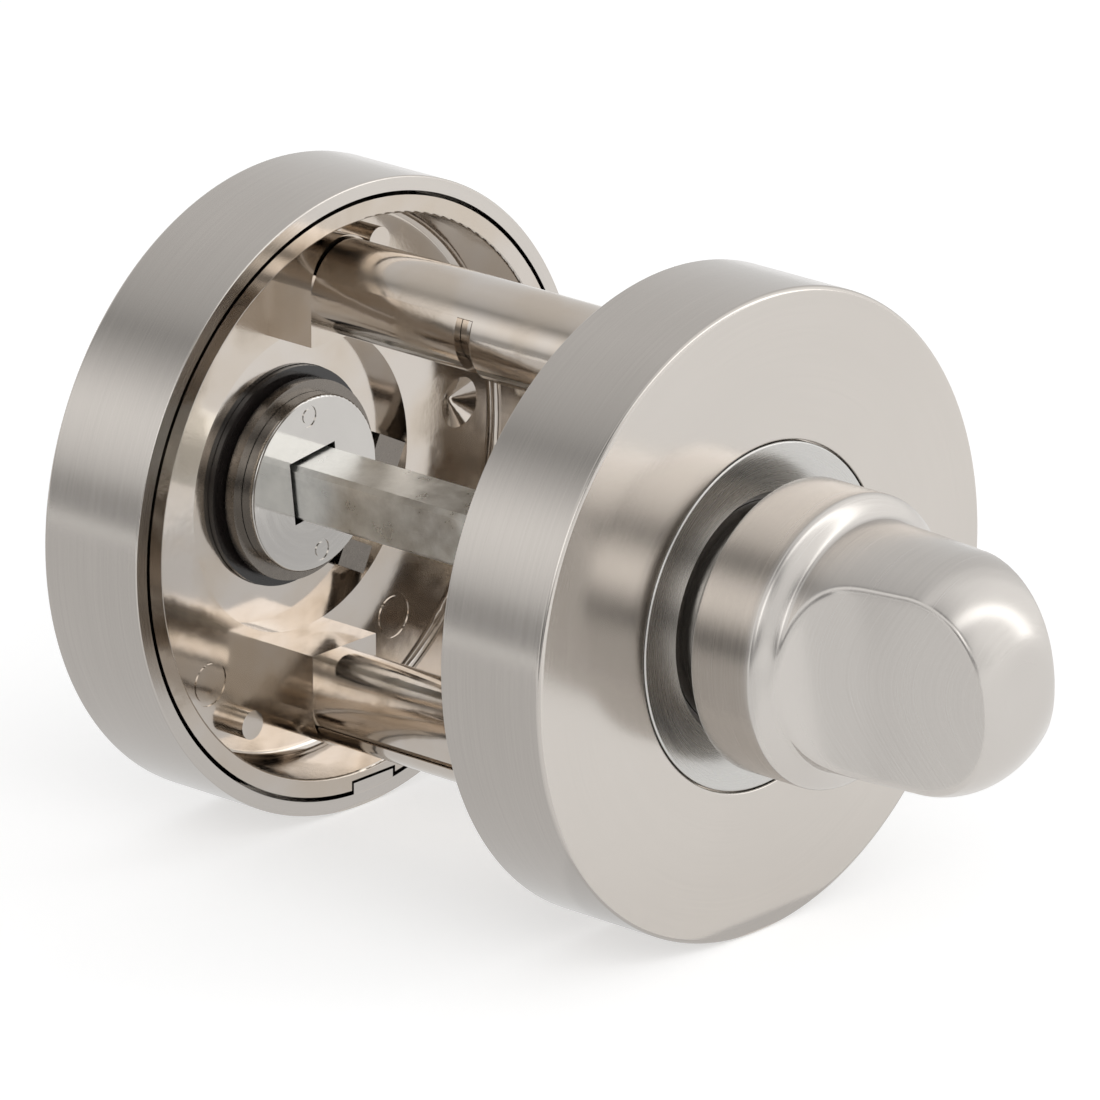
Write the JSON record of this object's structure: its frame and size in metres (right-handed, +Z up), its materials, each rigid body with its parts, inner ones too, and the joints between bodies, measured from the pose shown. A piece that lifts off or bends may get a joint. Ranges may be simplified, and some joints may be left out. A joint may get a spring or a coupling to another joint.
{
  "type": "bathroom thumb turn lock",
  "caption": "Bathroom door thumb turn set: round satin nickel roses that clamp through the door on posts, a tapered thumb turn, a square spindle and a slotted emergency release.",
  "frame": {"origin": "on the spindle's axis, in the plane where the turn-side rose meets the door, midway between the two posts", "axes": "+Z up, +Y from the turn side through the door to the release side, so the thumb turn faces -Y"},
  "size_m": [0.052, 0.082, 0.052],
  "materials": {
    "satin_nickel": "brushed satin nickel",
    "satin_knob": "satin nickel with soft polished edges",
    "satin_ring": "turned satin nickel",
    "plated_casting": "bright nickel plate on a zinc casting",
    "bright_hub": "bright nickel plate",
    "zinc_steel": "dull zinc plate",
    "spring_steel": "plain spring steel",
    "bearing_plastic": "black acetal"
  },
  "bodies": {
    "roses": {"turn_cover": "satin_nickel", "turn_base": "plated_casting", "turn_collar": "satin_ring", "turn_bush": "bearing_plastic", "turn_washer": "spring_steel", "screw_upper": "zinc_steel", "screw_lower": "zinc_steel", "release_cover": "satin_nickel", "release_base": "plated_casting", "release_bush": "bearing_plastic"},
    "turn": {"thumb_turn": "satin_knob", "turn_circlip": "spring_steel", "spindle": "zinc_steel", "spindle_pin": "zinc_steel", "coin_release": "bright_hub", "release_clip": "spring_steel"}
  },
  "joints": [
    {"name": "thumb_turn_hinge", "type": "hinge", "parent": "roses", "child": "turn", "pos_m": [0, 0, 0], "axis": [0, -1, 0], "range_deg": [-7, 83]}
  ]
}
